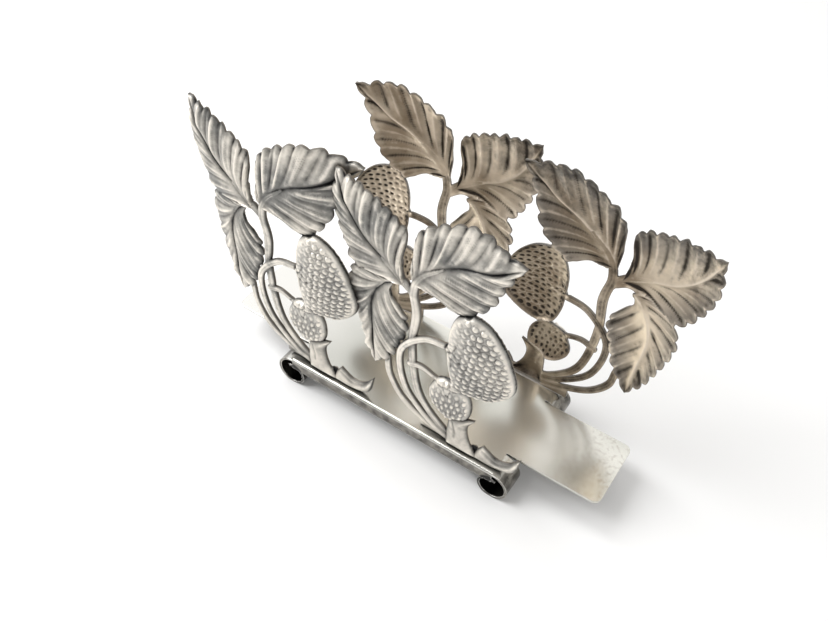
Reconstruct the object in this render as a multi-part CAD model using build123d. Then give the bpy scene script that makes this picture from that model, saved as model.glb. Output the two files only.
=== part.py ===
from build123d import *
import math
import os

# Toast rack: a flat footed base and four die-struck strawberry sprigs that
# stand in two fences along its long edges, with the toast held between them.
# Millimetres. X runs along the rack, the front fence is at -Y, Z is up.
# The origin is on the table, under the middle of the rack. The base repeats
# itself when it is turned half a turn about Z, and the sprigs nearly do: they
# come from one pair of dies, and each was bent a little differently by hand.

# ---- driving dimensions -------------------------------------------------
SHEET = 1.0             # thickness of the base sheet and of the struck sprigs
STRIP_LENGTH = 170.0    # long centre strip of the base, end to end
STRIP_WIDTH = 30.0
DECK_LENGTH = 94.0      # wider middle of the base, between the scroll feet
DECK_WIDTH = 52.6       # over the outside of the turned-down lips
DECK_HEIGHT = 14.0      # top of the base above the table
LIP_DEPTH = 5.0
CORNER_RADIUS = 3.0
LIP_BEND_RADIUS = 1.2
SPRIG_PITCH = 64.5      # from one sprig to its neighbour in the same fence
FENCE_Y = 22.7          # middle of the struck sheet, from the rack's centre

# ---- scroll feet --------------------------------------------------------
SCROLL_TIGHTEN = 0.0085  # radius lost for each degree of roll
SCROLL_TURN = 385       # degrees of roll
FOOT_WIDTH = 10.6       # the rest, up to the centre strip, is a slit
WORN_DEPTH = 0.15       # metal worn off the lowest line of each scroll

# ---- sprig, seen from outside the rack: u to the right, v up from the base
LEAF_FOLD = 10.0        # degrees each half leaf falls away from its midrib
TOOTH_DEPTH = 1.3
TOOTH_PEAK = 0.72       # how far along its pitch a tooth comes to its tip
VEIN_RADIUS = 0.55
VEIN_SINK = 0.2         # depth of a vein's axis under the face of the leaf
VEIN_REACH = 0.88       # share of the way to its tooth that a vein runs
FIRST_VEIN = 0.06       # where the veins leave the midrib, as shares of its length
VEIN_SPREAD = 0.72
BAR_LEFT, BAR_RIGHT, BAR_HEIGHT = -19.5, 19.0, 5.0
SOLDER_LEG = 1.1        # reach of the solder up the bar and out over the base
SOLDER_SHORT = 1.5      # how far the solder stops before each end of the bar
SOLDER_HOLLOW = 0.35    # where its face is hollowed to, as a share of the leg

LEAVES = {
    "upper_left": {
        "base": (-28.0, 71.5),
        "tip": (-58.5, 104.5),
        "right_of_midrib": [(-29.5, 82.0), (-29.0, 95.0), (-39.0, 101.0), (-50.0, 103.8)],
        "left_of_midrib": [(-38.0, 71.0), (-50.0, 67.5), (-57.5, 79.0), (-60.5, 92.0)],
        "teeth": (8, 9),
    },
    "upper_right": {
        "base": (-25.5, 75.0),
        "tip": (13.5, 103.6),
        "right_of_midrib": [(-16.0, 74.0), (-6.0, 70.0), (3.5, 79.5), (7.5, 90.0)],
        "left_of_midrib": [(-26.0, 85.0), (-24.0, 98.0), (-13.0, 106.0), (-2.5, 109.0)],
        "teeth": (7, 8),
    },
    "lower_left": {
        "base": (-33.0, 70.0),
        "tip": (-41.0, 22.0),
        "right_of_midrib": [(-40.0, 71.0), (-49.5, 67.5), (-53.0, 61.5), (-52.0, 50.0), (-46.5, 31.0)],
        "left_of_midrib": [(-34.3, 65.0), (-30.5, 59.5), (-26.8, 52.5), (-28.8, 42.0), (-34.0, 29.0)],
        "teeth": (8, 7),
    },
}

# Centre lines of the stems, each with its radius at the middle of its run.
STEMS = {
    "main": (1.5, [(-27.5, 73.0), (-23.2, 58.0), (-25.2, 37.0), (-21.0, 20.0), (-9.0, 4.8)]),
    "big_berry": (1.25, [(-9.5, 53.5), (-20.0, 50.0), (-29.3, 37.0), (-26.0, 19.0), (-13.0, 5.0)]),
    "small_berry": (1.15, [(-25.0, 33.5), (-19.5, 35.0), (-13.0, 32.5)]),
    "leaf": (1.4, [(-35.0, 29.0), (-34.0, 20.0), (-27.0, 9.5), (-16.0, 4.5)]),
    "crown_left": (1.3, [(-26.5, 70.0), (-30.5, 71.2), (-34.0, 70.0)]),
    "crown_right": (1.3, [(-26.5, 69.5), (-25.8, 73.0), (-23.0, 77.5)]),
}

BIG_BERRY = {"stem_end": (-10.3, 54.0), "tip": (16.5, 48.7), "radius": 19.0, "height": 5.5}
SMALL_BERRY = {"stem_end": (-9.5, 35.8), "tip": (-5.5, 15.5), "radius": 9.3, "height": 4.0}
SEED_PITCH = 3.4
SEED_RADIUS = 0.95
SEED_SINK = 0.35        # how far the middle of a seed lies below the skin
BERRY_FULLNESS = 0.63   # below 1 moves the widest part towards the stem end
BERRY_BLUNTNESS = 0.45  # below 1 rounds both ends
DOME_OVERRUN = 4        # degrees a berry's dome is turned past its rim, then cut off

# Where each sprig stands and how it was bent to meet its neighbour. Each is
# given as it would stand in the front fence; a back sprig is then turned half
# a turn about Z. Yaw is in degrees about the vertical, and lean in degrees
# about the foot, positive to the toast. The tilts lean each leaf about its
# base in the same way, so that the tip of one sprig passes the leaf of the next.
SPRIGS = {
    "front_left": {"x": -SPRIG_PITCH / 2, "yaw": 0, "turn": 0, "lean": 0.0,
                   "tilts": {"upper_left": 7.0, "upper_right": 8.0, "lower_left": 0.0}},
    "front_right": {"x": SPRIG_PITCH / 2, "yaw": 0, "turn": 0, "lean": 0.0,
                    "tilts": {"upper_left": 4.0, "upper_right": -2.0, "lower_left": 0.0}},
    "back_right": {"x": -SPRIG_PITCH / 2 - 1.2, "yaw": 0, "turn": 180, "lean": 2.6,
                   "tilts": {"upper_left": 9.0, "upper_right": -2.0, "lower_left": 0.0}},
    "back_left": {"x": SPRIG_PITCH / 2 + 4.2, "yaw": 9.0, "turn": 180, "lean": 0.0,
                  "tilts": {"upper_left": 5.0, "upper_right": -2.0, "lower_left": 0.0}},
}

CUT_REACH = 200.0       # size of the blocks that trim a solid, past all of it

deck_underside = DECK_HEIGHT - SHEET
# Half a turn of the scroll reaches from the top of the base to the worn line.
scroll_radius = (DECK_HEIGHT + WORN_DEPTH + SCROLL_TIGHTEN * 180) / 2


# ---- base ---------------------------------------------------------------
def deck():
    """The flat sheet: a rounded centre strip across a wider middle."""
    strip = RectangleRounded(STRIP_LENGTH, STRIP_WIDTH, CORNER_RADIUS)
    middle = Rectangle(DECK_LENGTH, DECK_WIDTH)
    return Pos(0, 0, deck_underside) * extrude(strip + middle, SHEET)


def lip(side):
    """A long edge turned down square; side is -1 at the front, 1 at the back."""
    strip = Box(DECK_LENGTH, SHEET, LIP_DEPTH)
    return Pos(0, side * (DECK_WIDTH - SHEET) / 2, DECK_HEIGHT - LIP_DEPTH / 2) * strip


def scroll_profile():
    """Side view of one foot: a strip rolled down and in by one turn."""
    axis_height = DECK_HEIGHT - scroll_radius
    steps = 12

    def ring(inset):
        points = []
        for step in range(steps + 1):
            turned = SCROLL_TURN * step / steps
            radius = scroll_radius - SCROLL_TIGHTEN * turned - inset
            angle = math.radians(90 - turned)
            points.append((radius * math.cos(angle), axis_height + radius * math.sin(angle)))
        return points

    outer = ring(0)
    inner = ring(SHEET)
    outline = [
        Spline(*outer, tangents=[(1, 0), (1, -0.2)], tangent_scalars=[1, 1]),
        Line(outer[-1], inner[-1]),
        Spline(*reversed(inner), tangents=[(-1, 0.2), (-1, 0)], tangent_scalars=[1, 1]),
        Line(inner[0], outer[0]),
    ]
    return make_face(Curve() + outline)


def foot():
    """The right-hand front foot; the others are this one turned or mirrored."""
    roll = extrude(Plane.XZ * scroll_profile(), FOOT_WIDTH / 2, both=True)
    outer_edge = DECK_WIDTH / 2
    return Pos(DECK_LENGTH / 2, -(outer_edge - FOOT_WIDTH / 2), 0) * roll


def base_plate():
    right_front = foot()
    feet = [right_front, mirror(right_front, Plane.XZ)]
    feet += [mirror(each, Plane.YZ) for each in feet]
    sheet = deck() + lip(-1) + lip(1)
    for edge_side in (-1, 1):
        bend = sheet.edges().filter_by(Axis.X).filter_by(
            lambda e: abs(e.center().Y - edge_side * DECK_WIDTH / 2) < 0.01
            and abs(e.center().Z - DECK_HEIGHT) < 0.01
        )
        sheet = fillet(bend, LIP_BEND_RADIUS)
    for each in feet:
        sheet = sheet + each
    table = Box(CUT_REACH, CUT_REACH, CUT_REACH, align=(Align.CENTER, Align.CENTER, Align.MAX))
    return sheet - table


# ---- sprig --------------------------------------------------------------
def serrated(start, through, end, teeth):
    """Points of a toothed edge: a notch, then a tooth that leans to the end."""
    edge = Spline(start, *through, end)
    points = []
    for tooth in range(teeth):
        notch_at = tooth / teeth
        if tooth > 0:
            along = edge % notch_at
            inward = Vector(-along.Y, along.X) * TOOTH_DEPTH
            points.append(("notch", edge @ notch_at, inward))
        points.append(("tooth", edge @ ((tooth + TOOTH_PEAK) / teeth), Vector(0, 0)))
    return points


def leaf(shape):
    """One leaflet with a folded midrib, a toothed edge and a vein to each tooth."""
    base, tip = Vector(*shape["base"]), Vector(*shape["tip"])
    right_teeth, left_teeth = shape["teeth"]
    middle = (base + tip) / 2

    def side(name, teeth):
        found = []
        for kind, point, inward in serrated(shape["base"], shape[name], shape["tip"], teeth):
            towards_rib = middle - point
            turn = 1 if inward.dot(towards_rib) > 0 else -1
            found.append((kind, point + inward * turn))
        return found

    right, left = side("right_of_midrib", right_teeth), side("left_of_midrib", left_teeth)
    ring = [base] + [point for _, point in right] + [tip] + [point for _, point in reversed(left)]
    outline = make_face(Polyline(*ring, close=True))

    chord = tip - base
    heading = math.degrees(math.atan2(chord.Y, chord.X))
    along_midrib = Pos(base.X, base.Y, 0) * Rot(0, 0, heading)
    reach = 40.0
    drop = reach * math.tan(math.radians(LEAF_FOLD))
    fold = Polyline(
        (0, 0), (reach, -drop), (reach, -drop - SHEET), (0, -SHEET),
        (-reach, -drop - SHEET), (-reach, -drop), close=True,
    )
    tent = extrude(Plane.YZ * make_face(fold), chord.length * 2, both=True)
    blade = extrude(outline, reach, both=True) & (along_midrib * tent)

    veins = []
    for points, sign in ((right, 1), (left, -1)):
        tips = [point for kind, point in points if kind == "tooth"]
        for number, tooth in enumerate(tips):
            root = base + chord * (FIRST_VEIN + VEIN_SPREAD * number / len(tips))
            veins.append(vein(root, tooth, base, chord))
    return blade + veins


def fold_height(point, base, chord):
    """Height of the folded blade's face over a point of the leaf."""
    offset = point - base
    across = abs(chord.X * offset.Y - chord.Y * offset.X) / chord.length
    return -across * math.tan(math.radians(LEAF_FOLD))


def vein(root, tooth, base, chord):
    end = root + (tooth - root) * VEIN_REACH
    start = Vector(root.X, root.Y, fold_height(root, base, chord) - VEIN_SINK)
    stop = Vector(end.X, end.Y, fold_height(end, base, chord) - VEIN_SINK)
    run = stop - start
    return Plane(start, z_dir=run) * Cylinder(
        VEIN_RADIUS, run.length, align=(Align.CENTER, Align.CENTER, Align.MIN)
    )


def stem(radius, points):
    path = Spline(*points)
    start = Plane(path @ 0, z_dir=path % 0)
    return sweep(start * Circle(radius), path=path)


def berry_girth(position, radius):
    """Half width of a berry at a position from 0 at the stem end to 1 at the tip."""
    return radius * math.sin(math.pi * position ** BERRY_FULLNESS) ** BERRY_BLUNTNESS


def berry_shell(length, radius, height):
    """Domed shell along +X from the origin, turned about an axis below its rim."""
    depth = (radius ** 2 - height ** 2) / (2 * height)

    def profile(inset):
        stations = [0.02, 0.1, 0.33, 0.6, 0.82, 0.96]
        points = [(length * s, math.hypot(berry_girth(s, radius), depth) - inset) for s in stations]
        return [(0, depth - inset)] + points + [(length, depth - inset)]

    outer, inner = profile(0), profile(SHEET)
    section = make_face(
        Curve() + [
            Spline(*outer),
            Line(outer[-1], inner[-1]),
            Spline(*reversed(inner)),
            Line(inner[0], outer[0]),
        ]
    )
    half_turn = math.degrees(math.asin(radius / math.hypot(radius, depth))) + DOME_OVERRUN
    dome = revolve(Rot(-half_turn, 0, 0) * Plane.XZ * section, Axis.X, 2 * half_turn)
    above_rim = Box(4 * radius, 4 * radius, 2 * height, align=(Align.CENTER, Align.CENTER, Align.MIN))
    return (Pos(0, 0, -depth) * dome) & above_rim, depth


def berry(shape):
    """A domed, open-backed berry with raised seeds in staggered rows."""
    stem_end, tip = Vector(*shape["stem_end"]), Vector(*shape["tip"])
    run = tip - stem_end
    radius = shape["radius"]
    shell, depth = berry_shell(run.length, radius, shape["height"])

    seeds = []
    rows = int(run.length / SEED_PITCH)
    for row in range(1, rows):
        position = (row + 0.2) / rows
        girth = berry_girth(position, radius)
        reach = int(girth / SEED_PITCH) + 1
        shift = 0.5 if row % 2 else 0.0
        for place in range(-reach, reach + 1):
            across = (place + shift) * SEED_PITCH
            if abs(across) > girth - 2 * SEED_RADIUS:
                continue
            rise = math.sqrt(girth ** 2 + depth ** 2 - across ** 2) - depth
            seeds.append(Pos(position * run.length, across, rise - SEED_SINK) * Sphere(SEED_RADIUS))
    heading = math.degrees(math.atan2(run.Y, run.X))
    return Pos(stem_end.X, stem_end.Y, -SHEET / 2) * Rot(0, 0, heading) * (shell + seeds)


def bract():
    """Small leaf that rises from the bar beside the little berry."""
    outline = Curve() + [
        Line((-6.5, 2.0), (-5.5, 9.0)),
        ThreePointArc((-5.5, 9.0), (-4.2, 16.5), (3.8, 21.5)),
        ThreePointArc((3.8, 21.5), (2.0, 12.5), (6.5, 4.0)),
        Line((6.5, 4.0), (-6.5, 2.0)),
    ]
    return extrude(make_face(outline), SHEET / 2, both=True)


def crescent():
    """Cup-shaped curl that ends the bar, with an upturned tip."""
    outline = Curve() + [
        ThreePointArc((4.0, 0.3), (14.5, 0.4), (22.4, 12.5)),
        ThreePointArc((22.4, 12.5), (16.0, 5.2), (8.5, 8.0)),
        Line((8.5, 8.0), (4.0, 0.3)),
    ]
    return Pos(0, 0, -SHEET / 2) * extrude(make_face(outline), SHEET * 1.4)


def bar():
    """Flat foot of the sprig, soldered to the base."""
    strip = Box(BAR_RIGHT - BAR_LEFT, BAR_HEIGHT, SHEET, align=(Align.MIN, Align.MIN, Align.CENTER))
    return Pos(BAR_LEFT, 0, 0) * strip


def berry_bridge():
    """Web of sheet left between the two berries."""
    return Pos(-3.0, 35.0, 0) * Box(5.0, 5.0, SHEET)


def tilted(solid, shape, degrees):
    """Lean a leaf back about a line through its base, square to its length."""
    base, tip = Vector(*shape["base"]), Vector(*shape["tip"])
    heading = math.degrees(math.atan2(tip.Y - base.Y, tip.X - base.X))
    frame = Pos(base.X, base.Y, 0) * Rot(0, 0, heading)
    return frame * Rot(0, degrees, 0) * frame.inverse() * solid


def sprig(leaves, berries, tilts, lean):
    """One struck sprig in its flat frame: u along X, v along Y, outwards along Z."""
    body = bar() + bract() + crescent() + berry_bridge()
    body = body + [stem(radius, points) for radius, points in STEMS.values()]
    body = body + berries
    body = body + [tilted(leaves[name], LEAVES[name], tilts[name]) for name in LEAVES]
    below_bar = Box(CUT_REACH, CUT_REACH, CUT_REACH, align=(Align.CENTER, Align.MAX, Align.CENTER))
    return Rot(-lean, 0, 0) * body - below_bar


def solder_fillet(lean):
    """Soft solder run into the inner corner between a sprig's bar and the base."""
    face_y, leg = SHEET / 2, SOLDER_LEG
    corner, up, out = (face_y, 0), (face_y, leg), (face_y + leg, 0)
    hollow = (face_y + SOLDER_HOLLOW * leg, SOLDER_HOLLOW * leg)
    section = make_face(Curve() + [Line(corner, up), ThreePointArc(up, hollow, out), Line(out, corner)])
    length = BAR_RIGHT - BAR_LEFT - 2 * SOLDER_SHORT
    run = Pos(BAR_LEFT + SOLDER_SHORT, 0, 0) * extrude(Plane.YZ * section, length)
    below_base = Box(CUT_REACH, CUT_REACH, CUT_REACH, align=(Align.CENTER, Align.CENTER, Align.MAX))
    return Rot(-lean, 0, 0) * run - below_base


def stand(place):
    """From a sprig's own place at the middle of its foot to its place on the base."""
    spot = Pos(place["x"], -FENCE_Y, DECK_HEIGHT) * Rot(0, 0, place["yaw"])
    return Rot(0, 0, place["turn"]) * spot


def write(name, solid):
    export_step(solid, f"parts/{name}.step")


def main():
    os.makedirs("parts", exist_ok=True)
    write("base_plate", base_plate())

    leaves = {name: leaf(shape) for name, shape in LEAVES.items()}
    berries = [berry(BIG_BERRY), berry(SMALL_BERRY)]
    fillets = {"front": [], "back": []}
    for name, place in SPRIGS.items():
        upright = Rot(90, 0, 0) * sprig(leaves, berries, place["tilts"], place["lean"])
        write(f"sprig_{name}", stand(place) * upright)
        fence = "back" if place["turn"] else "front"
        fillets[fence].append(stand(place) * solder_fillet(place["lean"]))
    for fence, pair in fillets.items():
        write(f"solder_bars_{fence}", Compound(children=pair))


main()
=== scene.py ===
import math

import bpy
import numpy as np
from mathutils import Matrix, Vector


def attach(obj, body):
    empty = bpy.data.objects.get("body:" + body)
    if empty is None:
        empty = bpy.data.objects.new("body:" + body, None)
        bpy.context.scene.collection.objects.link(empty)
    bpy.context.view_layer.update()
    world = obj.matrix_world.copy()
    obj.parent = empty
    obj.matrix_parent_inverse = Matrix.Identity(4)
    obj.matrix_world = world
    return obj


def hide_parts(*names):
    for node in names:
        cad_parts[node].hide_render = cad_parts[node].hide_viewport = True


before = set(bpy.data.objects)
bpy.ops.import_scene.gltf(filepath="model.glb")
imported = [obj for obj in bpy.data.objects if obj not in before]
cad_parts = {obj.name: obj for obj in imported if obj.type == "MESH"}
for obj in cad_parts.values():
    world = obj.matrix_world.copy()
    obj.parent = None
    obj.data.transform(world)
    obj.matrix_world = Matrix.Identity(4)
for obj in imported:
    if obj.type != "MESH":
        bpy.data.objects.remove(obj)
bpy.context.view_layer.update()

# Looks of the strawberry toast rack. Everything below is worked out in
# millimetres and written into Blender in metres. The sprigs are die-struck
# sheets, so each is made as a relief: a height over the flat sheet, cut out
# along its outline, with the same relief in negative on its back.

MM = 0.001

# ---- driving dimensions, the same as the part's -------------------------
DECK_HEIGHT = 14.0
FENCE_Y = 22.7
SPRIG_PITCH = 64.5
SCROLL_X = 47.0         # axis of each rolled foot, from the rack's centre
SCROLL_Z = 6.2          # and from the table

# ---- sprig outline, seen from outside: u right, v up from the base ------
LEAVES = {
    "upper_left": {
        "base": (-28.0, 71.5),
        "tip": (-58.5, 104.5),
        "midrib": [(-36.0, 77.5), (-46.0, 83.0), (-53.5, 92.0)],
        "right": [(-29.5, 82.0), (-29.0, 95.0), (-39.0, 101.0), (-50.0, 103.8)],
        "left": [(-38.0, 71.0), (-50.0, 67.5), (-57.5, 79.0), (-60.5, 92.0)],
        "teeth": (8, 9),
        "veins": (7, 6),
        "fan": (2.8, 2.2),
        "plain": (0.40, 0.20),
    },
    "upper_right": {
        "base": (-25.5, 75.0),
        "tip": (13.5, 103.6),
        "midrib": [(-20.0, 82.5), (-10.0, 90.0), (2.0, 95.0)],
        "right": [(-16.0, 74.0), (-6.0, 70.0), (3.5, 79.5), (7.5, 90.0)],
        "left": [(-26.0, 85.0), (-24.0, 98.0), (-13.0, 106.0), (-2.5, 109.0)],
        "teeth": (7, 8),
        "veins": (7, 6),
        "fan": (3.0, 2.8),
        "plain": (0.24, 0.28),
    },
    "lower_left": {
        "base": (-33.0, 70.0),
        "tip": (-41.0, 22.0),
        "midrib": [(-39.0, 65.0), (-43.0, 54.0), (-42.0, 38.0)],
        "right": [(-40.0, 71.5), (-49.5, 68.0), (-53.5, 62.0), (-52.0, 50.0), (-46.5, 31.0)],
        "left": [(-34.3, 65.0), (-30.5, 59.5), (-26.8, 52.5), (-28.8, 42.0), (-34.0, 29.0)],
        "teeth": (8, 7),
        "veins": (6, 6),
        "fan": (2.4, 2.6),
        "plain": (0.26, 0.24),
    },
}
TOOTH_DEPTH = 1.5

# Centre lines of the stems, each with its radius at even steps from its start to its end.
STEMS = {
    "main": (
        (0.4, 1.6, 1.8, 1.6, 1.6, 1.6, 1.5),
        [(-14.5, 87.0), (-22.0, 79.5), (-24.8, 71.0), (-23.6, 60.0),
         (-24.8, 42.0), (-21.0, 20.0), (-11.0, 7.5), (-2.0, 4.5)],
    ),
    "big_berry": (
        (1.3, 1.4),
        [(-9.0, 53.0), (-20.0, 50.3), (-29.0, 38.0), (-26.0, 19.0), (-14.0, 6.5), (-3.0, 2.8)],
    ),
    "small_berry": ((1.3, 0.9), [(-25.0, 33.5), (-19.5, 35.0), (-12.5, 33.0)]),
    "leaf": ((1.4, 1.4), [(-35.5, 29.0), (-34.0, 20.0), (-27.5, 10.5), (-17.0, 4.6), (-6.0, 1.6)]),
    "to_upper_left": ((1.5, 1.5, 0.4), [(-24.6, 67.0), (-27.0, 71.5), (-31.0, 74.8), (-38.0, 78.8)]),
    "to_lower_left": ((1.4, 1.4, 0.4), [(-25.5, 69.0), (-30.5, 72.2), (-35.5, 71.0), (-41.0, 62.5)]),
}
BIG_BERRY = [
    (-10.3, 54.0), (-10.0, 62.5), (-7.5, 69.5), (-2.0, 73.0), (4.5, 71.2),
    (9.8, 66.0), (13.6, 59.0), (16.4, 51.0), (15.8, 45.0), (11.3, 39.3),
    (5.0, 35.8), (-2.0, 34.7), (-7.2, 37.8), (-9.7, 45.5), (-10.3, 54.0),
]
SMALL_BERRY = [
    (-15.0, 30.5), (-12.8, 34.5), (-7.0, 36.5), (-2.0, 34.5), (1.0, 29.5), (1.2, 22.0), (-1.5, 16.8),
    (-6.5, 15.2), (-11.5, 17.2), (-15.3, 22.0), (-16.3, 26.5), (-15.0, 30.5),
]
SEPALS = {
    "small": [((-8.5, 34.5), (-14.5, 33.5)), ((-8.5, 34.8), (-7.5, 29.5)), ((-8.0, 34.5), (-1.5, 34.8))],
    "big": [((-9.5, 53.2), (-4.0, 51.2)), ((-9.8, 53.5), (-6.0, 58.0)), ((-9.8, 52.8), (-7.5, 46.5))],
}
SEED_PITCH = 2.75

CELL = 0.3   # size of the relief's grid
SHEET = 0.9
LEAF, BERRY, STEM, PLAIN = 1.0, 2.0, 3.0, 4.0   # what a point of the relief belongs to
MARGIN = 1.5                        # relief worked out past the outline


# ---- plane geometry -----------------------------------------------------
def smooth_step(x):
    x = np.clip(x, 0.0, 1.0)
    return x * x * (3 - 2 * x)


def curve_through(points, count):
    """Even steps along a smooth curve through the points."""
    points = np.array(points, float)
    before = 2 * points[0] - points[1]
    after = 2 * points[-1] - points[-2]
    p = np.vstack([before, points, after])
    found = []
    for i in range(1, len(p) - 2):
        t = np.linspace(0, 1, 40, endpoint=False)[:, None]
        a, b, c, d = p[i - 1], p[i], p[i + 1], p[i + 2]
        square = 2 * a - 5 * b + 4 * c - d
        cube = 3 * b - a - 3 * c + d
        found.append(0.5 * (2 * b + (c - a) * t + square * t ** 2 + cube * t ** 3))
    found = np.vstack(found + [points[-1:]])
    length = np.concatenate([[0], np.cumsum(np.linalg.norm(np.diff(found, axis=0), axis=1))])
    steps = np.linspace(0, length[-1], count)
    return np.stack([np.interp(steps, length, found[:, k]) for k in (0, 1)], 1)


def normals_of(curve):
    tangent = np.gradient(curve, axis=0)
    tangent /= np.linalg.norm(tangent, axis=1)[:, None]
    return np.stack([-tangent[:, 1], tangent[:, 0]], 1)


def distance_to_line(u, v, line):
    """Distance from each point to a polyline, and how far along it that is."""
    best = np.full(u.shape, 1e9)
    along = np.zeros(u.shape)
    total = np.concatenate([[0], np.cumsum(np.linalg.norm(np.diff(line, axis=0), axis=1))])
    for k in range(len(line) - 1):
        a, run = line[k], line[k + 1] - line[k]
        length2 = float(run @ run) or 1e-12
        t = np.clip(((u - a[0]) * run[0] + (v - a[1]) * run[1]) / length2, 0, 1)
        d = np.hypot(u - a[0] - t * run[0], v - a[1] - t * run[1])
        nearer = d < best
        best = np.where(nearer, d, best)
        along = np.where(nearer, total[k] + t * math.sqrt(length2), along)
    return best, along / total[-1]


def signed_distance(u, v, ring):
    """Distance to a closed outline, negative inside it."""
    closed = np.vstack([ring, ring[:1]])
    distance, _ = distance_to_line(u, v, closed)
    inside = np.zeros(u.shape, bool)
    for a, b in zip(closed[:-1], closed[1:]):
        crosses = (a[1] > v) != (b[1] > v)
        if a[1] == b[1]:
            continue
        at = a[0] + (v - a[1]) * (b[0] - a[0]) / (b[1] - a[1])
        inside ^= crosses & (u < at)
    return np.where(inside, -distance, distance)


# ---- the relief ---------------------------------------------------------
class Relief:
    """Height of a struck sheet over a grid, with its outline as a signed distance."""

    def __init__(self, low, high):
        self.u_line = np.arange(low[0], high[0], CELL)
        self.v_line = np.arange(low[1], high[1], CELL)
        self.u, self.v = np.meshgrid(self.u_line, self.v_line)
        self.height = np.zeros(self.u.shape)
        self.edge = np.full(self.u.shape, 1e3)
        self.grain = np.zeros(self.u.shape + (2,))
        self.kind = np.zeros(self.u.shape)

    def window(self, low, high):
        columns = (self.u_line > low[0] - MARGIN) & (self.u_line < high[0] + MARGIN)
        rows = (self.v_line > low[1] - MARGIN) & (self.v_line < high[1] + MARGIN)
        return np.ix_(rows, columns)

    def lay(self, window, edge, height, kind, grain=None):
        """Lay an element over what is there already.

        Only a leaf has a grain: the number of its vein, and how far out from the midrib."""
        covers = (edge <= 0) | (edge < self.edge[window])
        self.height[window] = np.where(covers, height, self.height[window])
        self.kind[window] = np.where(covers, kind, self.kind[window])
        if grain is not None:
            self.grain[window] = np.where(covers[..., None], grain, self.grain[window])
        self.edge[window] = np.minimum(edge, self.edge[window])


def blurred(field, radius):
    """Gaussian blur, radius in millimetres."""
    sigma = radius / CELL
    reach = max(1, int(3 * sigma))
    weights = np.exp(-0.5 * (np.arange(-reach, reach + 1) / sigma) ** 2)
    weights /= weights.sum()
    for axis in (0, 1):
        padded = np.pad(field, [(reach, reach) if k == axis else (0, 0) for k in (0, 1)], mode="edge")
        size = field.shape[axis]
        field = sum(
            w * np.take(padded, range(k, k + size), axis=axis) for k, w in enumerate(weights)
        )
    return field


# ---- leaves -------------------------------------------------------------
ALONG, ACROSS = 900, 240


def toothed_side(base, through, tip, teeth, plain, middle):
    """The outline of half a leaf from base to tip, toothed after a plain stretch."""
    side = curve_through([base] + through + [tip], ALONG)
    inward = normals_of(side)
    facing = np.sum(inward * (np.array(middle) - side), axis=1)
    inward = inward * np.sign(np.median(facing))
    t = np.linspace(0, 1, ALONG)
    tooth = tooth_number(t, teeth, plain)
    scallop = 1 - np.sin(np.pi * (tooth % 1.0) ** 1.35) ** 0.7
    ends = smooth_step(tooth / 0.8) * smooth_step((teeth - tooth) / 0.5)
    depth = TOOTH_DEPTH * scallop * ends
    return side + inward * depth[:, None]


def tooth_number(t, teeth, plain):
    """Counts teeth along a side, from 0 at the end of its plain stretch."""
    return (t - plain) / (1 - plain) * teeth


def half_leaf_height(t, s, vein, bold):
    """Height of half a leaf: t runs from base to tip, s from midrib to edge.

    The veins stand up as narrow ridges with broad hollows between them."""
    swell = 0.7 + 1.1 * np.sin(np.pi * np.clip(s, 0, 1) ** 1.05)
    groove = -0.25 * np.exp(-((s / 0.08) ** 2))
    shrink = smooth_step(t / 0.14) * smooth_step((1 - t) / 0.12)
    from_ridge = np.abs(vein - np.round(vein)) * 2
    sharp = 0.015
    pleat = 1 - 2 * ((from_ridge ** 2 + sharp) ** 0.36 - sharp ** 0.36)
    uneven = 1 + 0.3 * np.sin(2.1 * np.round(vein) + 0.7)
    ramp = smooth_step((s - 0.02) / 0.5) * (1 - 0.35 * smooth_step((s - 0.75) / 0.25))
    curl = -0.8 * smooth_step((s - 0.88) / 0.14)
    between = 0.10 * np.cos(6 * np.pi * vein) * smooth_step((s - 0.15) / 0.3)
    body = (swell + groove) * (0.35 + 0.65 * shrink)
    pleats = bold * uneven * ramp * pleat * shrink
    return body + pleats + curl + between * shrink


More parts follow.
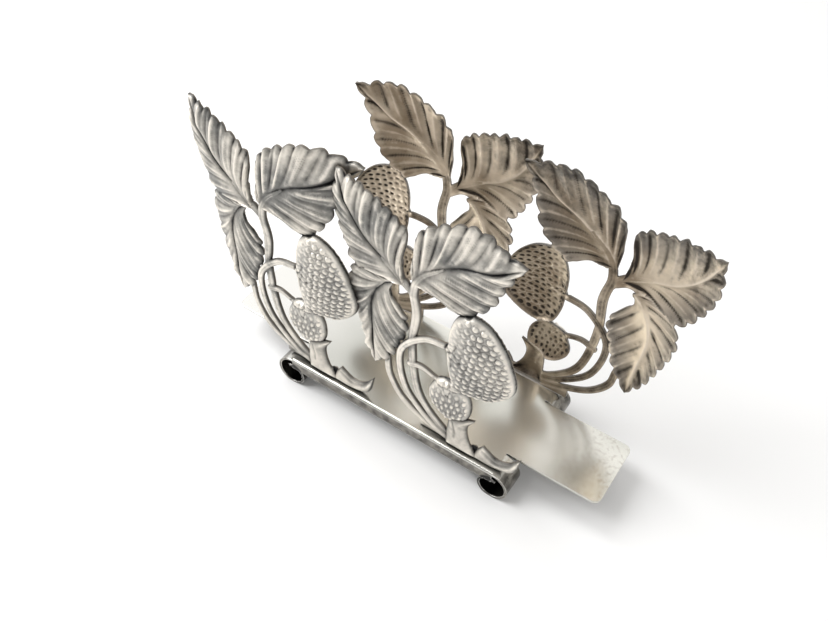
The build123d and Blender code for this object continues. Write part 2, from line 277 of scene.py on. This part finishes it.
def lay_leaf(relief, shape, level, bold):
    base, tip = np.array(shape["base"]), np.array(shape["tip"])
    midrib = curve_through([base] + shape["midrib"] + [tip], ALONG)
    middle = midrib[ALONG // 2]
    right = toothed_side(base, shape["right"], tip, shape["teeth"][0], shape["plain"][0], middle)
    left = toothed_side(base, shape["left"], tip, shape["teeth"][1], shape["plain"][1], middle)
    ring = np.vstack([right[::4], left[::-4]])
    low, high = ring.min(0), ring.max(0)
    window = relief.window(low, high)
    u, v = relief.u[window], relief.v[window]
    edge = signed_distance(u, v, ring)

    total = np.zeros(u.shape)
    weight = np.zeros(u.shape)
    grain = np.zeros(u.shape + (2,))
    t_line = np.linspace(0, 1, ALONG)
    for side, veins, fan, swell in zip((right, left), shape["veins"], shape["fan"], bold):
        starts = on_midrib(midrib, t_line ** fan)
        ahead = on_midrib(midrib, 0.45 * t_line ** fan + 0.55 * t_line)
        turns = 0.35 * ahead + 0.65 * (0.55 * starts + 0.45 * side)
        s = np.linspace(0, 1.06, ACROSS)[None, :]
        t = np.repeat(t_line[:, None], ACROSS, 1)
        along = s[..., None]
        points = (
            starts[:, None, :] * (1 - along) ** 2 + turns[:, None, :] * 2 * along * (1 - along)
            + side[:, None, :] * along ** 2
        )
        vein = t * (veins + 1)
        height = half_leaf_height(t, np.broadcast_to(s, t.shape), vein, swell)
        column = np.round((points[..., 0] - u[0, 0]) / CELL).astype(int)
        row = np.round((points[..., 1] - v[0, 0]) / CELL).astype(int)
        fits = (column >= 0) & (column < u.shape[1]) & (row >= 0) & (row < u.shape[0])
        flat = row[fits] * u.shape[1] + column[fits]
        size = u.size
        total += np.bincount(flat, height[fits], size).reshape(u.shape)
        weight += np.bincount(flat, None, size).reshape(u.shape)
        grain[..., 0] += np.bincount(flat, vein[fits], size).reshape(u.shape)
        grain[..., 1] += np.bincount(flat, np.broadcast_to(s, t.shape)[fits], size).reshape(u.shape)
    known = weight > 0
    height = np.where(known, total / np.maximum(weight, 1), 0)
    grain = grain / np.maximum(weight, 1)[..., None]
    height = fill_gaps(height, known)
    relief.lay(window, edge, level + height, LEAF, grain)


def on_midrib(midrib, t):
    return midrib[np.clip((t * (ALONG - 1)).astype(int), 0, ALONG - 1)]


def fill_gaps(field, known):
    """Spread known values into the empty cells around them."""
    field, known = field.copy(), known.copy()
    for _ in range(6):
        total = np.zeros(field.shape)
        count = np.zeros(field.shape)
        for dy in (-1, 0, 1):
            for dx in (-1, 0, 1):
                total += np.roll(np.where(known, field, 0), (dy, dx), (0, 1))
                count += np.roll(known.astype(float), (dy, dx), (0, 1))
        new = ~known & (count > 0)
        field[new] = total[new] / count[new]
        known |= new
    return field


# ---- berries, stems and the foot of the sprig ---------------------------
def lay_berry(relief, outline, stem_end, tip, rise, level, seed_pitch, seed_rise):
    """A domed berry with raised seeds in staggered rows across its length."""
    start, tip = np.array(stem_end), np.array(tip)
    axis = (tip - start) / np.linalg.norm(tip - start)
    side = np.array([-axis[1], axis[0]])
    ring = curve_through(outline, 160)[:-1]
    window = relief.window(ring.min(0), ring.max(0))
    u, v = relief.u[window], relief.v[window]
    edge = signed_distance(u, v, ring)
    inset = np.clip(-edge / (0.45 * np.ptp(ring @ side)), 0, 1)
    lip = np.clip(-edge / 1.6, 0, 1)
    dome = rise * (0.72 * np.sqrt(1 - (1 - inset) ** 2) + 0.28 * np.sqrt(1 - (1 - lip) ** 2))

    along = (u - start[0]) * axis[0] + (v - start[1]) * axis[1]
    across = (u - start[0]) * side[0] + (v - start[1]) * side[1]
    across = across * (1 + 0.4 * (along / np.linalg.norm(tip - start)) ** 2)
    row = np.round(along / seed_pitch)
    stagger = 0.5 * (row % 2) + 0.25 * np.sin(row * 2.3)
    place = np.round(across / seed_pitch - stagger)
    du = along - (row + 0.14 * np.sin(place * 2.9 + row * 1.7)) * seed_pitch
    dv = across - (place + stagger + 0.12 * np.sin(place * 5.1 + row * 3.1)) * seed_pitch
    away = np.hypot(du / (0.45 * seed_pitch), dv / (0.34 * seed_pitch))
    seed = seed_rise * np.clip(1 - away ** 2, 0, 1) ** 0.7
    moat = -0.5 * seed_rise * np.exp(-(((away - 1.15) / 0.3) ** 2))
    clear = smooth_step((-edge - 0.7) / 0.7) * (0.45 + 0.55 * smooth_step((along - 2.0) / 9.0))
    relief.lay(window, edge, level + dome + (seed + moat) * clear, BERRY)


def lay_stem(relief, name, levels, rise=1.0):
    radii, points = STEMS[name]
    lay_rod(relief, curve_through(points, 80), radii, levels, rise, 0.18)


def lay_rod(relief, line, radii, levels, rise, groove):
    """A half-round rod along a line, with a fine groove down its middle.

    radii and levels hold its radius and height at even steps from its start."""
    widest = max(radii)
    window = relief.window(line.min(0) - widest, line.max(0) + widest)
    distance, along = distance_to_line(relief.u[window], relief.v[window], line)
    radius = np.interp(along, np.linspace(0, 1, len(radii)), radii)
    level = np.interp(along, np.linspace(0, 1, len(levels)), levels)
    round_top = np.sqrt(np.maximum(1 - (distance / (radius + 0.15)) ** 2, 0))
    height = level + rise * round_top * radius / widest - groove * np.exp(-((distance / 0.28) ** 2))
    below = np.where(relief.edge[window] < 0, relief.height[window], -9.0)
    relief.lay(window, distance - radius, np.maximum(height, below), STEM)


def lay_sepals(relief, name):
    """Small pointed leaves raised on a berry, spreading from its stem end."""
    for root, tip in SEPALS[name]:
        line = np.array([root, tip], float)
        window = relief.window(line.min(0) - 2, line.max(0) + 2)
        distance, along = distance_to_line(relief.u[window], relief.v[window], line)
        radius = np.interp(along, (0, 0.4, 1), (0.9, 1.4, 0.1))
        blade = 0.35 * np.sqrt(np.maximum(1 - (distance / radius) ** 2, 0))
        crease = -0.15 * np.exp(-((distance / 0.3) ** 2))
        moat = -0.3 * np.exp(-(((distance - radius - 0.2) / 0.35) ** 2))
        relief.height[window] += blade + crease + moat


def outline_of(parts, count=24):
    """Closed outline from stretches of smooth curve."""
    return np.vstack([curve_through(part, count)[:-1] for part in parts])


def lay_outline(relief, ring, level, rise, soft, ridge=None, ridge_rise=0.5):
    """A plain embossed shape with a rounded edge, raised or sunk along a centre line."""
    window = relief.window(ring.min(0), ring.max(0))
    u, v = relief.u[window], relief.v[window]
    edge = signed_distance(u, v, ring)
    height = level + rise * (1 - np.exp(np.minimum(edge, 0) / soft))
    if ridge is not None:
        distance, _ = distance_to_line(u, v, curve_through(ridge, 20))
        height = height + ridge_rise * np.exp(-((distance / 0.6) ** 2))
    relief.lay(window, edge, height, PLAIN)


def build_relief():
    """Lay every element of one sprig, from the deepest to the nearest."""
    relief = Relief((-63.0, -1.5), (25.0, 114.5))

    bar = np.array([(-19.5, 0.0), (14.0, 0.0), (14.0, 3.0), (8.0, 5.0), (-14.0, 5.5), (-19.5, 5.0)])
    lay_outline(relief, bar, -0.4, 0.4, 0.5)
    lay_stem(relief, "leaf", (-0.3, -0.3), 1.2)
    crescent = outline_of([
        [(4.0, 0.0), (14.0, 0.0), (21.4, 3.0), (23.6, 12.6)],
        [(23.6, 12.6), (19.4, 7.2), (14.0, 5.6), (8.2, 8.8)],
        [(8.2, 8.8), (6.0, 5.0), (4.0, 0.0)],
    ])
    lay_outline(relief, crescent, 0.4, 1.5, 0.9, [(8.6, 6.6), (14.0, 4.0), (18.9, 5.6), (22.2, 9.6)], -0.45)
    lay_berry(relief, BIG_BERRY, (-10.3, 53.5), (16.4, 50.0), 4.8, 0.3, SEED_PITCH, 0.6)
    lay_berry(relief, SMALL_BERRY, (-9.0, 36.0), (-6.0, 15.5), 3.2, 0.1, SEED_PITCH, 0.5)

    lay_leaf(relief, LEAVES["lower_left"], 0.2, (0.5, 0.45))
    lay_leaf(relief, LEAVES["upper_right"], 0.9, (0.45, 0.7))
    lay_leaf(relief, LEAVES["upper_left"], 1.1, (0.75, 0.4))
    lay_stem(relief, "main", (1.8, 1.2, 0.3, 0.0, 0.0, 0.0, 0.0), 1.4)
    lay_stem(relief, "to_upper_left", (0.2, 0.9, 1.8), 1.3)
    lay_stem(relief, "to_lower_left", (0.2, 0.6, 0.9), 1.2)

    lay_stem(relief, "small_berry", (0.3, 0.9), 1.1)
    lay_stem(relief, "big_berry", (0.9, 0.9, 0.5, 0.5), 1.2)
    lay_sepals(relief, "small")
    lay_sepals(relief, "big")
    bract = outline_of([
        [(-7.0, 0.5), (-7.2, 9.0), (-5.6, 16.8), (3.8, 21.0)],
        [(3.8, 21.0), (1.0, 15.0), (2.4, 7.5), (6.4, 0.5)],
        [(6.4, 0.5), (0.0, 0.3), (-7.0, 0.5)],
    ])
    lay_outline(relief, bract, 1.0, 2.0, 1.7, [(-4.6, 15.0), (-3.4, 11.5), (-3.2, 8.0)], -0.4)
    return relief


# ---- from relief to a closed sheet --------------------------------------
def cut_out(edge):
    """Triangles and quads that fill the part of the grid where edge is negative.

    Returns grid points used, edge crossings, faces and the open outline's segments."""
    rows, columns = edge.shape
    inside = edge < 0
    number = {}
    places = []

    def corner(r, c):
        key = (r, c)
        if key not in number:
            number[key] = len(places)
            places.append((r, c))
        return number[key]

    def crossing(r0, c0, r1, c1):
        key = (min((r0, c0), (r1, c1)), max((r0, c0), (r1, c1)))
        if key not in number:
            a, b = edge[r0, c0], edge[r1, c1]
            t = min(max(a / (a - b), 0.08), 0.92)
            number[key] = len(places)
            places.append((r0 + (r1 - r0) * t, c0 + (c1 - c0) * t))
        return number[key]

    faces, rim = [], []
    full = inside[:-1, :-1] & inside[1:, :-1] & inside[:-1, 1:] & inside[1:, 1:]
    part = (inside[:-1, :-1] | inside[1:, :-1] | inside[:-1, 1:] | inside[1:, 1:]) & ~full
    for r, c in zip(*np.nonzero(full)):
        faces.append((corner(r, c), corner(r, c + 1), corner(r + 1, c + 1), corner(r + 1, c)))
    for r, c in zip(*np.nonzero(part)):
        ring = [(r, c), (r, c + 1), (r + 1, c + 1), (r + 1, c)]
        flags = [inside[p] for p in ring]
        walk = []
        for k in range(4):
            a, b = ring[k], ring[(k + 1) % 4]
            if flags[k]:
                walk.append((corner(*a), "in"))
            if flags[k] != flags[(k + 1) % 4]:
                walk.append((crossing(*a, *b), "out" if flags[k] else "back"))
        kinds = [w[1] for w in walk]
        if kinds.count("out") == 2:
            first = kinds.index("out")
            walk = walk[first + 1:] + walk[:first + 1]
            cut = [k for k, w in enumerate(walk) if w[1] == "out"][0]
            groups = [walk[:cut + 1], walk[cut + 1:]]
        else:
            groups = [walk]
        for group in groups:
            ids = [w[0] for w in group]
            if len(ids) >= 3:
                faces.append(tuple(ids))
            for k, w in enumerate(group):
                if w[1] == "out":
                    rim.append((w[0], group[(k + 1) % len(group)][0]))
    return np.array(places, float), faces, rim


def sample(field, places):
    r, c = places[:, 0], places[:, 1]
    r0 = np.clip(np.floor(r).astype(int), 0, field.shape[0] - 2)
    c0 = np.clip(np.floor(c).astype(int), 0, field.shape[1] - 2)
    fr, fc = r - r0, c - c0
    return (
        field[r0, c0] * (1 - fr) * (1 - fc) + field[r0 + 1, c0] * fr * (1 - fc)
        + field[r0, c0 + 1] * (1 - fr) * fc + field[r0 + 1, c0 + 1] * fr * fc
    )


class Sheet:
    """The struck sheet in its own flat frame, ready to be bent and stood up."""

    def __init__(self, relief):
        places, faces, cut_edges = cut_out(relief.edge)
        front = relief.height
        known = relief.edge < MARGIN
        padded = np.where(known, front, 0)
        share = np.maximum(blurred(known.astype(float), 0.5), 1e-6)
        soft = blurred(padded, 0.5) / share
        back = np.minimum(soft - SHEET, front - 0.4)
        wide = blurred(padded, 1.2) / np.maximum(blurred(known.astype(float), 1.2), 1e-6)
        hollow = np.clip((wide - front) / 0.8, -1, 1)

        u = relief.u_line[0] + places[:, 1] * CELL
        v = relief.v_line[0] + places[:, 0] * CELL
        w_front, w_back = sample(front, places), sample(back, places)
        count = len(places)
        self.points = np.concatenate([
            np.stack([u, v, w_front], 1),
            np.stack([u, v, w_back], 1),
        ])
        deep = sample(hollow, places)
        rim = np.exp(np.minimum(sample(relief.edge, places), 0) / 0.45)
        self.rim = np.concatenate([rim, rim])
        self.hollow = np.concatenate([deep, -deep])
        self.back = np.concatenate([np.zeros(count), np.ones(count)])
        grain = np.stack([sample(relief.grain[..., k], places) for k in (0, 1)], 1)
        self.grain = np.concatenate([grain, grain])
        kind = relief.kind[
            np.clip(np.round(places[:, 0]).astype(int), 0, relief.kind.shape[0] - 1),
            np.clip(np.round(places[:, 1]).astype(int), 0, relief.kind.shape[1] - 1),
        ]
        self.kind = np.concatenate([kind, kind])
        self.faces = list(faces)
        self.faces += [tuple(i + count for i in reversed(face)) for face in faces]
        self.faces += [(b, a, a + count, b + count) for a, b in cut_edges]


def bend(points, place):
    """How far each point of the sheet is bent outwards in the finished sprig."""
    u, v = points[:, 0], points[:, 1]
    lean = -place["leaf_lean"] * np.clip((-28 - u) / 31, 0, 1.2) ** 1.4
    tip = -place["tip_lean"] * smooth_step((u + 8) / 20) * smooth_step((v - 78) / 18)
    lower_corner = smooth_step((-42 - u) / 10) * smooth_step((74 - v) / 8) * smooth_step((v - 40) / 15)
    corner = place["corner_out"] * lower_corner
    whole = -v * math.sin(math.radians(place["lean"]))
    return whole + lean + tip + corner


SPRIGS = {
    "front_left": {"x": -SPRIG_PITCH / 2, "yaw": 0, "turn": 0, "lean": 0.0,
                   "leaf_lean": 5.4, "tip_lean": 8.0, "corner_out": 0.0},
    "front_right": {"x": SPRIG_PITCH / 2, "yaw": 0, "turn": 0, "lean": 0.0,
                    "leaf_lean": 3.5, "tip_lean": -1.5, "corner_out": 1.0},
    "back_right": {"x": -SPRIG_PITCH / 2 - 1.2, "yaw": 0, "turn": 180, "lean": 2.6,
                   "leaf_lean": 7.5, "tip_lean": -1.5, "corner_out": 0.0},
    "back_left": {"x": SPRIG_PITCH / 2 + 4.2, "yaw": 9.0, "turn": 180, "lean": 0.0,
                  "leaf_lean": 4.0, "tip_lean": -1.5, "corner_out": 0.0},
}


def standing(place):
    """From the flat frame to the rack: u to the right, v up, w outwards."""
    up = Matrix.Rotation(math.radians(90), 4, "X")
    yaw = Matrix.Rotation(math.radians(place["yaw"]), 4, "Z")
    spot = Matrix.Translation((place["x"], -FENCE_Y, DECK_HEIGHT))
    turn = Matrix.Rotation(math.radians(place["turn"]), 4, "Z")
    return np.array(turn @ spot @ yaw @ up)


def new_mesh(name, points, faces):
    mesh = bpy.data.meshes.new(name)
    mesh.from_pydata([tuple(p) for p in points], [], faces)
    mesh.update()
    return mesh


def make_sprig(name, sheet, place):
    points = sheet.points.copy()
    points[:, 2] += bend(points, place)
    whole = standing(place)
    world = (points @ whole[:3, :3].T + whole[:3, 3]) * MM
    mesh = new_mesh(f"sprig_{name}", world, sheet.faces)
    mesh.shade_smooth()
    mesh.set_sharp_from_angle(angle=math.radians(55))
    looks = {"hollow": sheet.hollow, "back": sheet.back, "kind": sheet.kind, "rim": sheet.rim}
    for attribute, values in looks.items():
        layer = mesh.attributes.new(attribute, "FLOAT", "POINT")
        layer.data.foreach_set("value", values.astype(np.float32))
    layer = mesh.attributes.new("grain", "FLOAT2", "POINT")
    layer.data.foreach_set("vector", sheet.grain.astype(np.float32).ravel())
    piece = bpy.data.objects.new(f"struck_sprig_{name}", mesh)
    bpy.context.scene.collection.objects.link(piece)
    mesh.materials.append(struck_silver)
    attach(piece, "root")
    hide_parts(f"sprig_{name}")
    return piece


# ---- materials ----------------------------------------------------------
class Nodes:
    """Short names for building a node material."""

    def __init__(self, name):
        self.material = bpy.data.materials.new(name)
        self.material.use_nodes = True
        self.tree = self.material.node_tree
        self.tree.nodes.clear()

    def add(self, kind, inputs=None, **settings):
        node = self.tree.nodes.new(kind)
        for key, value in settings.items():
            setattr(node, key, value)
        for key, value in (inputs or {}).items():
            if isinstance(value, bpy.types.NodeSocket):
                self.tree.links.new(value, node.inputs[key])
            else:
                node.inputs[key].default_value = value
        return node

    def math(self, operation, a, b=0.0, clamp=False):
        return self.add("ShaderNodeMath", {0: a, 1: b}, operation=operation, use_clamp=clamp).outputs[0]

    def mix(self, factor, a, b):
        node = self.add("ShaderNodeMix", data_type="RGBA")
        for socket, value in ((node.inputs[0], factor), (node.inputs[6], a), (node.inputs[7], b)):
            if isinstance(value, bpy.types.NodeSocket):
                self.tree.links.new(value, socket)
            else:
                socket.default_value = value
        return node.outputs[2]

    def ramp(self, value, low, high, a=0.0, b=1.0, shape="LINEAR"):
        inputs = {0: value, 1: low, 2: high, 3: a, 4: b}
        return self.add("ShaderNodeMapRange", inputs, clamp=True, interpolation_type=shape).outputs[0]

    def attribute(self, name, output=2):
        return self.add("ShaderNodeAttribute", attribute_name=name).outputs[output]

    def noise(self, scale, detail=4.0, rough=0.6, vector=None):
        inputs = {"Scale": scale, "Detail": detail, "Roughness": rough}
        if vector is not None:
            inputs["Vector"] = vector
        return self.add("ShaderNodeTexNoise", inputs).outputs[0]

    def finish(self, colour, metallic, roughness, normal=None, **more):
        inputs = {"Base Color": colour, "Metallic": metallic, "Roughness": roughness}
        if normal is not None:
            inputs["Normal"] = normal
        inputs.update(more)
        shader = self.add("ShaderNodeBsdfPrincipled", inputs)
        out = self.add("ShaderNodeOutputMaterial")
        self.tree.links.new(shader.outputs[0], out.inputs[0])
        return self.material


def rgb(r, g, b):
    return (r, g, b, 1.0)


def make_struck_silver():
    """Silver plate gone dark in the hollows and rubbed pale on the ridges, with a brown tarnished back.
    Painted shade darkens the outline of the sheet and, on its back, the edges of the leaves towards the
    right.
    """
    n = Nodes("struck_silver")
    place = n.add("ShaderNodeTexCoord").outputs["Object"]
    hollow = n.attribute("hollow")
    back = n.attribute("back")
    closeness = n.add("ShaderNodeAmbientOcclusion", {"Distance": 0.004}, samples=6).outputs["AO"]
    patches = n.ramp(n.noise(45.0, 3.0, 0.5, place), 0.40, 0.62)
    cloud = n.noise(190.0, 6.0, 0.72, place)
    fine = n.noise(1100.0, 3.0, 0.6, place)
    stipple = make_stipple(n)

    on_berry = is_kind(n, BERRY)
    milder = n.math("SUBTRACT", 1.0, n.math("MULTIPLY", on_berry, n.ramp(back, 0.6, 0.4, 0.0, 0.1)))
    lifted = n.math("MULTIPLY", hollow, milder)
    lifted = n.math("ADD", lifted, n.math("MULTIPLY", n.math("SUBTRACT", cloud, 0.5), 1.2))
    start = n.ramp(back, 0.0, 1.0, -0.10, 0.10)
    recess = n.ramp(n.math("ADD", lifted, n.math("MULTIPLY", stipple, 0.3)), start, 0.65)
    shade = n.ramp(closeness, 0.25, 0.97, 1.0, 0.0)
    # painted shade: a dark line painted along the sheet's outline, where the edge turns down away from the
    # light
    edge = n.math("MULTIPLY", n.ramp(n.attribute("rim"), 0.35, 0.95), 0.7)
    dark = n.math("MAXIMUM", n.math("MAXIMUM", recess, shade), edge)
    rubbed = n.ramp(lifted, -0.08, -0.65)
    grey = n.mix(patches, rgb(0.24, 0.235, 0.22), rgb(0.66, 0.62, 0.555))
    grey = n.mix(n.math("MULTIPLY", on_berry, 0.4), grey, rgb(0.78, 0.755, 0.71))
    bright = n.mix(rubbed, grey, rgb(0.92, 0.865, 0.78))
    front = n.mix(dark, bright, rgb(0.028, 0.028, 0.028))
    sandy = n.mix(patches, rgb(0.31, 0.245, 0.175), rgb(0.74, 0.64, 0.51))
    split = n.add("ShaderNodeSeparateXYZ", {0: place})
    high_up = n.math("MULTIPLY", n.ramp(split.outputs[2], 0.092, 0.122), n.ramp(split.outputs[0], -0.03, 0.0))
    sandy = n.mix(n.math("MULTIPLY", high_up, n.ramp(cloud, 0.35, 0.6)), sandy, rgb(0.11, 0.10, 0.09))
    # painted shade: on the back, the edges of the leaves towards the right are painted dark grey, where their
    # curled edges fall into shade
    near_edge = n.ramp(n.add("ShaderNodeSeparateXYZ", {0: n.attribute("grain", 1)}).outputs[1], 0.4, 1.0)
    to_right = n.ramp(split.outputs[0], 0.0, 0.03, 0.0, 0.75)
    painted_edge_shade = n.math("MULTIPLY", n.math("MULTIPLY", near_edge, is_kind(n, LEAF)), to_right)
    sandy = n.mix(painted_edge_shade, sandy, rgb(0.15, 0.145, 0.14))
    sandy = n.mix(n.ramp(split.outputs[0], -0.03, -0.07, 0.0, 0.6), sandy, rgb(0.80, 0.71, 0.60))
    # brown tarnish of the back, carrying the painted edge shade mixed in above
    tarnish_and_shade = n.mix(rubbed, sandy, rgb(0.74, 0.65, 0.54))
    inside = n.mix(dark, tarnish_and_shade, rgb(0.035, 0.028, 0.022))
    colour = n.mix(back, front, inside)
    rough = n.ramp(fine, 0.3, 0.7, 0.40, 0.58)
    relief = n.math("SUBTRACT", n.math("MULTIPLY", fine, 0.5), stipple)
    bump = n.add("ShaderNodeBump", {"Strength": 0.40, "Distance": 0.0002, "Height": relief}).outputs[0]
    return n.finish(colour, 0.8, rough, bump)


def is_kind(n, kind):
    """One on surfaces of this kind, nought elsewhere."""
    return n.ramp(n.math("ABSOLUTE", n.math("SUBTRACT", n.attribute("kind"), kind)), 0.2, 0.1)


def make_stipple(n):
    """Rows of fine punched dots beside the veins of the leaves."""
    grain = n.add("ShaderNodeSeparateXYZ", {0: n.attribute("grain", 1)})
    vein, out = grain.outputs[0], grain.outputs[1]
    from_vein = n.math("ABSOLUTE", n.math("SUBTRACT", n.math("FRACT", vein), 0.5))
    row = n.math("SINE", n.math("MULTIPLY", from_vein, 42.0))
    dot = n.math("SINE", n.math("MULTIPLY", out, 150.0))
    dots = n.ramp(n.math("MULTIPLY", row, dot), 0.15, 0.6)
    clear = n.math("MULTIPLY", n.ramp(out, 0.12, 0.3), n.ramp(out, 0.95, 0.85))
    near = n.ramp(from_vein, 0.25, 0.38)
    return n.math("MULTIPLY", n.math("MULTIPLY", dots, is_kind(n, LEAF)), n.math("MULTIPLY", clear, near))


def make_base_silver():
    """Satin silver plate, polished on the deck and oxidised on the lips and inside the scrolls. Its colour
    also carries painted reflections clouding the deck, painted highlights along the rounded edges and painted
    near-black shade inside the scrolls.
    """
    n = Nodes("base_silver")
    place = n.add("ShaderNodeTexCoord").outputs["Object"]
    split = n.add("ShaderNodeSeparateXYZ", {0: place})
    height = split.outputs[2]
    cloud = n.noise(28.0, 1.0, 0.5, place)
    specks = n.noise(700.0, 2.0, 0.5, place)
    along_deck = {"Vector": place, "Scale": (60.0, 2400.0, 60.0), "Rotation": (0, 0, 0.2)}
    stretched = n.add("ShaderNodeMapping", along_deck)
    scratch = n.noise(1.0, 3.0, 0.6, stretched.outputs[0])
    closeness = n.add("ShaderNodeAmbientOcclusion", {"Distance": 0.006}, samples=6).outputs["AO"]
    soft_edge = n.add("ShaderNodeBevel", {"Radius": 0.0005}, samples=4)
    true_normal = n.add("ShaderNodeNewGeometry").outputs["Normal"]
    facing = n.add("ShaderNodeVectorMath", {0: soft_edge.outputs[0], 1: true_normal}, operation="DOT_PRODUCT")
    # painted highlight mask: where the bevelled normal turns away from the true one, on the rounded edges
    painted_edge_highlight = n.ramp(facing.outputs["Value"], 0.99, 0.85)

    # painted reflections: the deck's colour runs through light and dark clouds, and is painted lighter
    # towards the left in place of the bright reflection there
    deck = n.mix(n.ramp(cloud, 0.25, 0.75, shape="SMOOTHSTEP"), rgb(0.54, 0.55, 0.50), rgb(0.97, 0.96, 0.90))
    deck = n.mix(n.ramp(split.outputs[0], -0.005, -0.07, shape="SMOOTHSTEP"), deck, rgb(0.97, 0.96, 0.93))
    far_right = n.ramp(split.outputs[0], 0.055, 0.085, shape="SMOOTHSTEP")
    freckles = n.math("MULTIPLY", n.ramp(specks, 0.50, 0.75), n.math("MULTIPLY", far_right, 0.35))
    deck = n.mix(freckles, deck, rgb(0.36, 0.28, 0.20))
    mottle = n.ramp(n.noise(260.0, 4.0, 0.7, place), 0.35, 0.7)
    oxide = n.mix(mottle, rgb(0.06, 0.056, 0.05), rgb(0.36, 0.34, 0.30))
    below = n.ramp(height, (DECK_HEIGHT - 0.5) * MM, (DECK_HEIGHT - 1.1) * MM)
    colour = n.mix(below, deck, oxide)
    shade = n.ramp(closeness, 0.15, 0.85, 1.0, 0.0)
    colour = n.mix(shade, colour, rgb(0.05, 0.046, 0.04))
    # painted shade: the inside of each rolled foot painted near black
    colour = n.mix(n.math("MULTIPLY", painted_scroll_shade(n, split), 0.97), colour, rgb(0.012, 0.012, 0.012))
    # painted highlight: the rounded edges painted pale
    colour = n.mix(painted_edge_highlight, colour, rgb(0.84, 0.82, 0.77))
    rough = n.ramp(cloud, 0.2, 0.8, 0.17, 0.26, "SMOOTHSTEP")
    scratched = {"Strength": 0.05, "Distance": 0.00002, "Height": scratch, "Normal": soft_edge.outputs[0]}
    bump = n.add("ShaderNodeBump", scratched)
    return n.finish(colour, 0.92, rough, bump.outputs[0])


def painted_scroll_shade(n, split):
    """One inside the rolled feet: the mask for the painted near-black shade there."""
    along = n.math("SUBTRACT", n.math("ABSOLUTE", split.outputs[0]), SCROLL_X * MM)
    up = n.math("SUBTRACT", split.outputs[2], SCROLL_Z * MM)
    square = n.math("ADD", n.math("MULTIPLY", along, along), n.math("MULTIPLY", up, up))
    radius = n.math("SQRT", square)
    return n.ramp(radius, (SCROLL_Z - 0.35) * MM, (SCROLL_Z - 0.75) * MM)


def make_solder():
    n = Nodes("solder")
    place = n.add("ShaderNodeTexCoord").outputs["Object"]
    lumps = n.noise(500.0, 3.0, 0.5, place)
    colour = n.mix(lumps, rgb(0.22, 0.20, 0.18), rgb(0.42, 0.40, 0.37))
    bump = n.add("ShaderNodeBump", {"Strength": 0.4, "Distance": 0.0004, "Height": lumps}).outputs[0]
    return n.finish(colour, 0.85, 0.5, bump)


struck_silver = make_struck_silver()
base_silver = make_base_silver()
solder = make_solder()

# ---- build --------------------------------------------------------------
sheet = Sheet(build_relief())
for name, place in SPRIGS.items():
    make_sprig(name, sheet, place)

cad_looks = {"base_plate": base_silver, "solder_bars_front": solder, "solder_bars_back": solder}
for node, material in cad_looks.items():
    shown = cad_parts[node]
    shown.data.materials.clear()
    shown.data.materials.append(material)


# ---- floor, light and camera --------------------------------------------
def add_floor():
    bpy.ops.mesh.primitive_plane_add(size=6.0, location=(0, 0, 0))
    floor = bpy.context.object
    floor.name = "floor"
    n = Nodes("floor")
    place = n.add("ShaderNodeTexCoord").outputs["Object"]
    cloud = n.noise(3.0, 2.0, 0.5, place)
    colour = n.mix(cloud, rgb(0.86, 0.86, 0.86), rgb(0.90, 0.90, 0.90))
    floor.data.materials.append(n.finish(colour, 0.0, 0.9))


def add_light(name, spot, aim, size, power, colour=(1, 1, 1)):
    data = bpy.data.lights.new(name, "AREA")
    data.energy = power
    data.shape = "RECTANGLE"
    data.size, data.size_y = size
    data.color = colour
    lamp = bpy.data.objects.new(name, data)
    bpy.context.scene.collection.objects.link(lamp)
    lamp.location = spot
    lamp.rotation_euler = (Vector(aim) - Vector(spot)).to_track_quat("-Z", "Y").to_euler()


def add_world():
    """A studio lit softly from behind, darker on the camera's side."""
    world = bpy.data.worlds.new("studio")
    bpy.context.scene.world = world
    world.use_nodes = True
    tree = world.node_tree
    direction = tree.nodes.new("ShaderNodeTexCoord").outputs["Generated"]
    split = tree.nodes.new("ShaderNodeSeparateXYZ")
    tree.links.new(direction, split.inputs[0])
    bright = tree.nodes.new("ShaderNodeMapRange")
    bright.inputs["From Min"].default_value = -0.8
    bright.inputs["From Max"].default_value = 0.8
    bright.inputs["To Min"].default_value = 0.26
    bright.inputs["To Max"].default_value = 1.05
    tree.links.new(split.outputs[1], bright.inputs["Value"])
    background = tree.nodes["Background"]
    background.inputs[0].default_value = (1.0, 0.99, 0.97, 1.0)
    tree.links.new(bright.outputs[0], background.inputs[1])


def add_camera():
    """Where the picture was taken from, in millimetres and degrees."""
    spot = Vector((114.1, -199.1, 296.1))
    aim = Vector((-7.1, 0.8, 45.0))
    roll = 3.45
    data = bpy.data.cameras.new("camera")
    data.lens = 39.07
    data.sensor_width = 36.0
    data.clip_start = 0.01
    camera = bpy.data.objects.new("camera", data)
    bpy.context.scene.collection.objects.link(camera)
    view = (aim - spot).to_track_quat("-Z", "Y").to_matrix().to_4x4()
    camera.matrix_world = Matrix.Translation(spot * MM) @ view @ Matrix.Rotation(math.radians(roll), 4, "Z")
    bpy.context.scene.camera = camera


add_floor()
add_world()
add_light("key", (-0.7, -0.2, 0.8), (0, 0, 0.05), (0.9, 0.9), 13.0)
add_light("fill", (0.7, -0.7, 0.5), (0, 0, 0.05), (0.5, 0.5), 2.0)
add_camera()
bpy.context.scene.view_settings.view_transform = "Standard"
